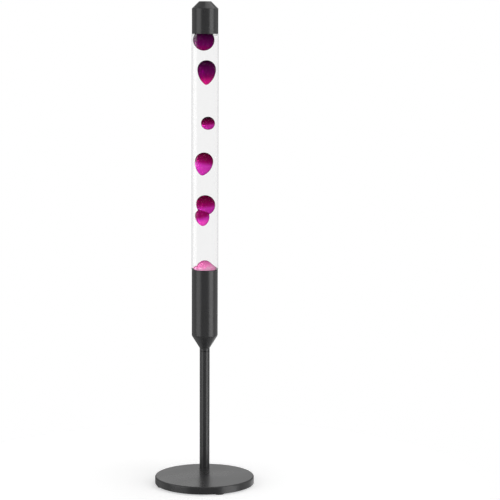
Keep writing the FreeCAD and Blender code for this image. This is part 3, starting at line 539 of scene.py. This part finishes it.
class LampWaxOperator(bpy.types.Operator):
    """Skins the wax pool and drops, and colours them by how much of the bulb's light reaches them"""

    bl_idname = "lava_lamp.pour_wax"
    bl_label = "Pour the wax"

    # Place of each lobe's crown and foot on the wax's row of colours, which runs from unlit wax to painted
    # bulb light, the shares of its height between which it passes from one to the other, how far that
    # slants up to the right, and how much cooler its colours are than those of the wax near the bulb
    lobes = {
        "wax_top_drop": dict(crown=0.02, foot=0.55, start=0.15, reach=0.87, lean=0.0, chill=1.0),
        "wax_tear_drop": dict(crown=0.03, foot=0.70, start=0.0, reach=0.84, lean=0.1, chill=1.0),
        "wax_small_drop": dict(crown=0.0, foot=0.67, start=0.09, reach=0.67, lean=0.1, chill=0.2),
        "wax_egg_drop": dict(crown=0.1, foot=0.72, start=0.0, reach=0.57, lean=-0.15, chill=0.0),
        "wax_pair_drop": dict(crown=0.13, foot=0.68, start=0.0, reach=0.65, lean=0.1, chill=0.0),
        "wax_pool": dict(crown=0.92, foot=1.0, start=0.0, reach=0.95, lean=0.15, chill=0.0),
    }
    # How far each skin stands off its CAD drop all over, and how much more where it faces one way
    swells = {
        "wax_top_drop": 0.00045,
        "wax_tear_drop": 0.0004,
        "wax_small_drop": 0.00045,
        "wax_egg_drop": 0.0004,
        "wax_pair_drop": 0.0003,
        "wax_pool": 0.0,
    }
    bulges = {
        "wax_top_drop": [(Vector((0.0, 0.0, -1.0)), -0.0005), (Vector((0.0, 0.0, 1.0)), -0.0005)],
        "wax_tear_drop": [
            (Vector((-0.8, 0.0, -0.6)), 0.0004),
            (Vector((0.8, 0.0, -0.6)), -0.0003),
            (Vector((0.3, 0.0, 0.95)), -0.0007),
            (Vector((0.0, 0.0, -1.0)), -0.0013),
        ],
        "wax_small_drop": [(Vector((0.0, 0.0, 1.0)), -0.0005)],
        "wax_egg_drop": [
            (Vector((0.0, 0.0, -1.0)), 0.0003),
            (Vector((-0.9, 0.0, -0.44)), 0.0006),
            (Vector((0.8, 0.0, -0.6)), 0.0006),
            (Vector((0.0, 0.0, 1.0)), -0.0005),
        ],
        "wax_pair_drop": [
            (Vector((-0.8, 0.0, 0.6)), 0.0009),
            (Vector((-0.8, 0.0, -0.6)), -0.0008),
            (Vector((0.0, 0.0, -1.0)), 0.0007),
        ],
    }
    # Lift of the pool's crest and of the ring round it, the radii between which the crest passes into it,
    # and the depth of the hollow in its left flank
    crest_lift = -0.0003
    ring_lift = 0.0006
    crest_radius = 0.011
    ring_radius = 0.0165
    hollow = 0.0035
    # Colours of the pair's lower lobe, the ball of its upper lobe below the piece's top, and the height of
    # the lower lobe
    lower_lobe = dict(crown=0.49, foot=0.85, start=0.3, reach=0.7, lean=0.25, chill=0.0)
    upper_centre = Vector((0.0013, 0.0505, -0.0151))
    upper_radius = 0.0152
    lower_height = 0.0252
    # Height of the pool that its row of colours covers
    visible_pool = 0.0118
    # Width of the veins in the wax and how far they shift its colour, then the width of the dull patches
    # and the roughness across them
    vein = 0.006
    vein_shift = 0.015
    bloom = 0.004
    bloom_dull = (0.3, 0.42)

    def execute(self, context):
        wax = context.scene.lava_lamp_wax
        material = self.lit_wax(wax)
        for node in self.lobes:
            piece = bpy.data.objects.new(node.replace("wax_", "") + "_wax", self.skin(node, wax))
            context.scene.collection.objects.link(piece)
            self.paint_bulb_light(piece.data, node)
            self.fill_out(piece.data, node)
            piece.data.materials.clear()
            piece.data.materials.append(material)
            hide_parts(node)
            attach(piece, BODY_OF[node])
        return {"FINISHED"}

    def skin(self, node, wax):
        """Even skin drawn over a CAD drop."""
        work = bpy.data.objects.new("wax_work", NODES[node].data.copy())
        bpy.context.scene.collection.objects.link(work)
        remesh = work.modifiers.new("Skin", "REMESH")
        remesh.mode = "VOXEL"
        remesh.voxel_size = wax.skin
        remesh.use_smooth_shade = True
        smooth = work.modifiers.new("Settle", "SMOOTH")
        smooth.factor = 0.5
        smooth.iterations = 6
        cling = work.modifiers.new("Cling", "SHRINKWRAP")
        cling.target = NODES[node]
        evaluated = work.evaluated_get(bpy.context.evaluated_depsgraph_get())
        mesh = bpy.data.meshes.new_from_object(evaluated)
        mesh.name = node
        bpy.data.objects.remove(work)
        return mesh

    def fill_out(self, mesh, node):
        """Moves the skin out to the drop's full shape."""
        places = [v.co + self.fullness(v.normal, node) * v.normal for v in mesh.vertices]
        if node == "wax_pool":
            low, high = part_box("glass_tube")
            middle = (low + high) / 2
            places = [
                place + Vector((0.0, 0.0, self.heap(v.co - middle) * max(v.normal.z, 0.0)))
                for place, v in zip(places, mesh.vertices)
            ]
        mesh.vertices.foreach_set("co", [value for place in places for value in place])
        mesh.update()

    def heap(self, offset):
        """Lift of the pool's surface at an offset from the bottle's axis."""
        radius = math.hypot(offset.x, offset.y)
        out = (radius - self.crest_radius) / (self.ring_radius - self.crest_radius)
        share = min(max(out, 0.0), 1.0)
        lift = self.crest_lift + (self.ring_lift - self.crest_lift) * share * share * (3 - 2 * share)
        left = max(-offset.x, 0.0) / max(radius, self.crest_radius)
        return lift - self.hollow * left * math.sin(math.pi * share) ** 2

    def fullness(self, normal, node):
        """How far the skin stands off the CAD drop where it faces a direction."""
        bulges = self.bulges.get(node, ())
        return self.swells[node] + sum(height * max(normal.dot(side), 0.0) ** 2 for side, height in bulges)

    def paint_bulb_light(self, mesh, node):
        """Writes each point's painted bulb light, which rises from the crown of a lobe to its foot, and its
        chill.
        """
        low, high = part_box(node)
        if node == "wax_pool":
            low.z = high.z - self.visible_pool
        painted_light = mesh.attributes.new("painted_light", "FLOAT", "POINT")
        painted_light.data.foreach_set("value", [self.painted_light_at(v.co, node, low, high) for v in mesh.vertices])
        chill = mesh.attributes.new("chill", "FLOAT", "POINT")
        chill.data.foreach_set("value", [self.lobes[node]["chill"]] * len(mesh.vertices))

    def painted_light_at(self, point, node, low, high):
        """Painted bulb light of one point of a wax piece."""
        lobe = self.lobes[node]
        top, foot = high.z, low.z
        middle = (low.x + high.x) / 2
        if node == "wax_pair_drop":
            centre = self.upper_centre + Vector((0.0, 0.0, high.z))
            if (point - centre).length < self.upper_radius:
                foot = high.z - 2 * self.upper_radius
            else:
                lobe = self.lower_lobe
                top = low.z + self.lower_height
        # Painted light: the share of the bulb's light grows from the lobe's crown down to its foot
        fall = (top - point.z + lobe["lean"] * (point.x - middle)) / (top - foot)
        passed = min(max((fall - lobe["start"]) / (lobe["reach"] - lobe["start"]), 0.0), 1.0)
        return lobe["crown"] + (lobe["foot"] - lobe["crown"]) * passed

    def lit_wax(self, wax):
        """Waxy finish whose colour and glow follow the painted bulb light and the chill written on the
        mesh.
        """
        material, tree, shader = new_finish("magenta_wax")
        painted_light = add_node(tree, "ShaderNodeAttribute")
        painted_light.attribute_name = "painted_light"
        chill = add_node(tree, "ShaderNodeAttribute")
        chill.attribute_name = "chill"
        level = add_node(tree, "ShaderNodeMath")
        tree.links.new(painted_light.outputs["Fac"], level.inputs[0])
        veins = spread(tree, cloud(tree, self.vein), -self.vein_shift, self.vein_shift)
        tree.links.new(veins, level.inputs[1])
        # Row of colours from the unlit crowns to the feet and pool in painted bulb light
        near_bulb = ramp(tree, level.outputs["Value"], [
            (0.0, wax.night), (0.2, wax.maroon), (0.4, wax.crimson), (0.55, wax.magenta), (0.7, wax.orchid),
            (0.85, wax.rose), (0.93, wax.dusk), (0.985, wax.blush), (1.0, wax.petal),
        ])
        far_up = ramp(tree, level.outputs["Value"], [
            (0.0, wax.ink), (0.2, wax.violet), (0.44, wax.plum), (0.56, wax.berry), (0.7, wax.cerise),
        ])
        blend = add_node(tree, "ShaderNodeMixRGB")
        tree.links.new(chill.outputs["Fac"], blend.inputs["Fac"])
        tree.links.new(near_bulb, blend.inputs["Color1"])
        tree.links.new(far_up, blend.inputs["Color2"])
        dim = add_node(tree, "ShaderNodeMixRGB", Fac=1.0, Color2=(wax.body, wax.body, wax.body, 1.0))
        dim.blend_type = "MULTIPLY"
        tree.links.new(blend.outputs["Color"], dim.inputs["Color1"])
        tree.links.new(dim.outputs["Color"], shader.inputs["Base Color"])
        # Painted light: the wax gives off its own colour as a glow that stands in for the bulb's light
        tree.links.new(blend.outputs["Color"], shader.inputs["Emission Color"])
        tree.links.new(spread(tree, cloud(tree, self.bloom), *self.bloom_dull), shader.inputs["Roughness"])
        set_sockets(
            shader, Specular_IOR_Level=0.0, Emission_Strength=wax.glow, Coat_Weight=1.0, Coat_IOR=1.0,
            Coat_Tint=(*wax.film, 1.0),
        )
        return material


class LampStageOperator(bpy.types.Operator):
    """Sets the camera, the pale floor, the room and the softboxes"""

    bl_idname = "lava_lamp.set_stage"
    bl_label = "Set the stage"

    # Place of each softbox with its width and height, and the point that they all face
    key_place = (1.376, -0.778, 0.35)
    key_size = (1.1, 1.95)
    fill_place = (-1.36, -0.81, 0.46)
    fill_size = (1.25, 1.72)
    top_place = (0.7, 0.3, 2.2)
    top_size = (1.5, 1.5)
    strip_place = (-1.168, 0.131, 0.5)
    strip_size = (0.76, 1.2)
    lamp_middle = Vector((0.0, 0.049, 0.4))
    # Places on the way from behind the camera, at 0, to behind the lamp, at 1, where the room's front ends,
    # its flank begins and ends, and its rear begins
    front_end = 0.35
    flank_start = 0.55
    flank_end = 0.78
    rear_start = 0.88
    # Cosines of the angles from a lit panel's middle between which it fades in
    panel_rim = 0.93
    panel_heart = 0.97
    # Corners of the floor, the grain of its paper, the share of its colour that a dark grain keeps, and the
    # shares of its radius between which it fades
    floor_corners = 96
    paper_grain = 0.02
    paper_shade = 0.99
    fade_start = 0.25
    fade_end = 0.7

    def execute(self, context):
        stage = context.scene.lava_lamp_stage
        self.set_camera(context.scene, stage)
        self.set_room(context.scene, stage)
        self.set_floor(stage)
        key = self.softbox("key_softbox", self.key_place, self.key_size, stage.key_radiance)
        fill = self.softbox("fill_softbox", self.fill_place, self.fill_size, stage.fill_radiance)
        self.link_glass(key, "EXCLUDE")
        self.link_glass(fill, "EXCLUDE")
        self.softbox("top_softbox", self.top_place, self.top_size, stage.top_radiance)
        self.strip_light(stage.strip_radiance)
        context.scene.view_settings.view_transform = "Standard"
        return {"FINISHED"}

    def set_camera(self, scene, stage):
        """Camera at the photograph's viewing angle."""
        yaw, pitch, roll = stage.camera_yaw, stage.camera_pitch, stage.camera_roll
        ahead = math.cos(pitch)
        forward = Vector((math.sin(yaw) * ahead, math.cos(yaw) * ahead, -math.sin(pitch)))
        level = Vector((math.cos(yaw), -math.sin(yaw), 0.0))
        upright = level.cross(forward)
        right = level * math.cos(roll) + upright * math.sin(roll)
        up = upright * math.cos(roll) - level * math.sin(roll)
        data = bpy.data.cameras.new("photo_camera")
        data.sensor_width = 36.0
        data.lens = stage.focal_length
        camera = bpy.data.objects.new("photo_camera", data)
        place = Matrix((right, up, -forward)).transposed().to_4x4()
        place.translation = Vector(stage.camera_place)
        camera.matrix_world = place
        scene.collection.objects.link(camera)
        scene.camera = camera

    def seen(self, tree):
        """Light path, and 1 for a ray that sees the background straight or through glass alone."""
        path = add_node(tree, "ShaderNodeLightPath")
        through = add_node(tree, "ShaderNodeMath")
        through.operation = "SUBTRACT"
        straight = add_node(tree, "ShaderNodeMath")
        straight.operation = "MAXIMUM"
        tree.links.new(path.outputs["Is Transmission Ray"], through.inputs[0])
        tree.links.new(path.outputs["Diffuse Depth"], through.inputs[1])
        tree.links.new(path.outputs["Is Camera Ray"], straight.inputs[0])
        tree.links.new(through.outputs["Value"], straight.inputs[1])
        return path, straight.outputs["Value"]

    def set_room(self, scene, stage):
        """White backdrop as it is seen, with a dim room round it in reflections, and a low even light."""
        world = bpy.data.worlds.new("white_room")
        world.use_nodes = True
        scene.world = world
        tree = world.node_tree
        path, straight = self.seen(tree)
        place = add_node(tree, "ShaderNodeTexCoord")
        split = add_node(tree, "ShaderNodeSeparateXYZ")
        tree.links.new(place.outputs["Generated"], split.inputs["Vector"])
        turn = spread(tree, split.outputs["Y"], 0.0, 1.0, -1.0, 1.0)
        levels = (stage.room_front, stage.room_flank, stage.room_rear)
        front, flank, rear = [(level,) * 3 for level in levels]
        room = ramp(tree, turn, [
            (self.front_end, front),
            (self.flank_start, flank),
            (self.flank_end, flank),
            (self.rear_start, rear),
        ])
        direction = place.outputs["Generated"]
        backdrop = self.panel(tree, direction, room, stage.backdrop_side, stage.backdrop_light)
        sweep = self.panel(tree, direction, backdrop, stage.sweep_side, stage.sweep_light)
        lit = add_node(tree, "ShaderNodeMix")
        lit.inputs[MIX_FIRST].default_value = stage.room_light
        tree.links.new(path.outputs["Is Glossy Ray"], lit.inputs[MIX_SHARE])
        tree.links.new(sweep, lit.inputs[MIX_SECOND])
        shown = add_node(tree, "ShaderNodeMix")
        shown.inputs[MIX_SECOND].default_value = 1.0
        tree.links.new(straight, shown.inputs[MIX_SHARE])
        tree.links.new(lit.outputs[0], shown.inputs[MIX_FIRST])
        background = tree.nodes["Background"]
        background.inputs["Color"].default_value = WHITE
        tree.links.new(shown.outputs[0], background.inputs["Strength"])

    def panel(self, tree, direction, room, side, light):
        """Level of the room with a lit panel towards one side, which fades out at its edge."""
        sight = add_node(tree, "ShaderNodeVectorMath")
        sight.operation = "DOT_PRODUCT"
        sight.inputs[1].default_value = side
        tree.links.new(direction, sight.inputs[0])
        lit = spread(tree, sight.outputs["Value"], 0.0, 1.0, self.panel_rim, self.panel_heart)
        level = add_node(tree, "ShaderNodeMix")
        level.inputs[MIX_SECOND].default_value = light
        tree.links.new(lit, level.inputs[MIX_SHARE])
        tree.links.new(room, level.inputs[MIX_FIRST])
        return level.outputs[0]

    def set_floor(self, stage):
        """Round pale floor that keeps the lamp's shadow, is seen as white and isn't mirrored."""
        mesh = bpy.data.meshes.new("pale_floor")
        corners = range(self.floor_corners)
        turns = [math.tau * corner / self.floor_corners for corner in corners]
        points = [(stage.floor_radius * math.cos(t), stage.floor_radius * math.sin(t), 0.0) for t in turns]
        mesh.from_pydata(points, [], [list(corners)])
        floor = bpy.data.objects.new("pale_floor", mesh)
        bpy.context.scene.collection.objects.link(floor)
        floor.visible_glossy = False
        material, tree, shader = new_finish("pale_floor")
        _, straight = self.seen(tree)
        tone = tuple(stage.floor_colour)
        shade = tuple(self.paper_shade * c for c in tone)
        paper = ramp(tree, cloud(tree, self.paper_grain), [(0.3, shade), (0.7, tone)])
        tree.links.new(paper, shader.inputs["Base Color"])
        set_sockets(shader, Roughness=0.9, Specular_IOR_Level=0.0, Emission_Color=WHITE)
        place = add_node(tree, "ShaderNodeTexCoord")
        reach = add_node(tree, "ShaderNodeVectorMath")
        reach.operation = "LENGTH"
        tree.links.new(place.outputs["Object"], reach.inputs[0])
        near, far = self.fade_start * stage.floor_radius, self.fade_end * stage.floor_radius
        lift = add_node(tree, "ShaderNodeMath")
        lift.operation = "MULTIPLY"
        fade = spread(tree, reach.outputs["Value"], stage.floor_lift, stage.floor_fade, near, far)
        tree.links.new(straight, lift.inputs[0])
        tree.links.new(fade, lift.inputs[1])
        tree.links.new(lift.outputs["Value"], shader.inputs["Emission Strength"])
        mesh.materials.append(material)

    def softbox(self, name, place, size, radiance):
        """Rectangular softbox that faces the lamp's middle."""
        width, height = size
        data = bpy.data.lights.new(name, "AREA")
        data.shape = "RECTANGLE"
        data.size = width
        data.size_y = height
        data.energy = radiance * math.pi * width * height
        lamp = bpy.data.objects.new(name, data)
        lamp.location = place
        aim = self.lamp_middle - lamp.location
        lamp.rotation_mode = "QUATERNION"
        lamp.rotation_quaternion = aim.to_track_quat("-Z", "Y")
        lamp.visible_camera = False
        bpy.context.scene.collection.objects.link(lamp)
        return lamp

    def strip_light(self, radiance):
        """Upright strip light behind the lamp's left side, which only the glass mirrors."""
        lamp = self.softbox("glass_strip", self.strip_place, self.strip_size, radiance)
        lamp.visible_diffuse = False
        lamp.visible_transmission = False
        lamp.data.cycles.use_multiple_importance_sampling = False
        self.link_glass(lamp, "INCLUDE")

    def link_glass(self, lamp, state):
        """Shines a lamp on the glass alone, or on all but the glass."""
        receivers = bpy.data.collections.new(lamp.name + "_glass")
        receivers.objects.link(NODES["glass_tube"])
        lamp.light_linking.receiver_collection = receivers
        receivers.collection_objects[0].light_linking.link_state = state


class LampPanel(bpy.types.Panel):
    """Lists the steps that dress the lamp and the values they read"""

    bl_idname = "VIEW3D_PT_lava_lamp"
    bl_label = "Lava lamp"
    bl_space_type = "VIEW_3D"
    bl_region_type = "UI"
    bl_category = "Lava lamp"

    def draw(self, context):
        for operator in OPERATORS:
            self.layout.operator(operator.bl_idname)
        for name in SETTINGS:
            group = getattr(context.scene, name)
            box = self.layout.box()
            for value in group.bl_rna.properties:
                if value.identifier not in ("rna_type", "name"):
                    box.prop(group, value.identifier)


SETTINGS = {
    "lava_lamp_coat": LampCoatSettings,
    "lava_lamp_glass": LampGlassSettings,
    "lava_lamp_wax": LampWaxSettings,
    "lava_lamp_stage": LampStageSettings,
}
OPERATORS = (
    LampCoatOperator,
    LampBaseOperator,
    LampFixingsOperator,
    LampBulbOperator,
    LampBottleOperator,
    LampWaxOperator,
    LampStageOperator,
)


def register():
    """Registers the settings, operators and panel."""
    for name, group in SETTINGS.items():
        bpy.utils.register_class(group)
        setattr(bpy.types.Scene, name, PointerProperty(type=group))
    for operator in OPERATORS:
        bpy.utils.register_class(operator)
    bpy.utils.register_class(LampPanel)


def unregister():
    """Takes back what register made."""
    bpy.utils.unregister_class(LampPanel)
    for operator in reversed(OPERATORS):
        bpy.utils.unregister_class(operator)
    for name, group in reversed(list(SETTINGS.items())):
        delattr(bpy.types.Scene, name)
        bpy.utils.unregister_class(group)


def main():
    """Dresses the lamp step by step."""
    register()
    bpy.ops.lava_lamp.coat_metalwork()
    bpy.ops.lava_lamp.dress_base()
    bpy.ops.lava_lamp.dress_fixings()
    bpy.ops.lava_lamp.dress_bulb()
    bpy.ops.lava_lamp.dress_bottle()
    bpy.ops.lava_lamp.pour_wax()
    bpy.ops.lava_lamp.set_stage()


if __name__ == "__main__":
    main()
